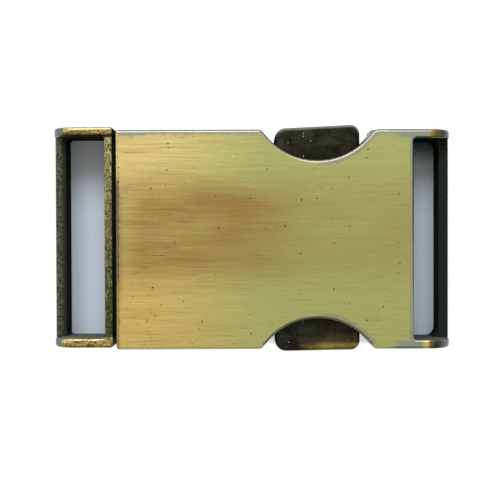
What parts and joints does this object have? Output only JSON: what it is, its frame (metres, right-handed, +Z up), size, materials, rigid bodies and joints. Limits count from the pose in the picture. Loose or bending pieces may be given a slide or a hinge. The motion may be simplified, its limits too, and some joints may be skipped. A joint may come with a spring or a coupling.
{
  "type": "side release buckle",
  "caption": "Metal side release buckle for flat webbing: a brushed socket housing, a plug with a strap loop and sprung levers pressed from both sides.",
  "frame": {"origin": "on the flat resting face of the back plate, below the middle of the buckle's length and width", "axes": "+X towards the socket's strap bar, +Y across the width towards release lever A, +Z up through the brushed top face"},
  "size_m": [0.0532, 0.0303, 0.0078],
  "materials": {
    "brushed_antique_brass": "brushed antique brass plating on a zinc casting",
    "cast_antique_brass": "cast and tumbled antique brass plating, dark in its hollows",
    "blackened_brass": "blackened brass plating, rubbed bright on the edges",
    "steel": "plain drawn steel"
  },
  "bodies": {
    "frame": {"socket_housing": "brushed_antique_brass", "plug_frame": "cast_antique_brass", "pivot_pin_a": "steel", "pivot_pin_b": "steel", "lever_spring_a": "steel", "lever_spring_b": "steel"},
    "lever_a": {"release_lever_a": "blackened_brass"},
    "lever_b": {"release_lever_b": "blackened_brass"}
  },
  "joints": [
    {"name": "lever_a_press", "type": "hinge", "parent": "frame", "child": "lever_a", "pos_m": [-0.01326, 0.0099, 0.00385], "axis": [0, 0, -1], "range_deg": [0, 8], "stiffness_Nm_per_rad": 0.2, "springref_deg": -7.16, "deforming": ["lever_spring_a"]},
    {"name": "lever_b_press", "type": "hinge", "parent": "frame", "child": "lever_b", "pos_m": [-0.01326, -0.0093, 0.00385], "axis": [0, 0, 1], "range_deg": [0, 8], "stiffness_Nm_per_rad": 0.2, "springref_deg": -7.16, "deforming": ["lever_spring_b"]}
  ]
}
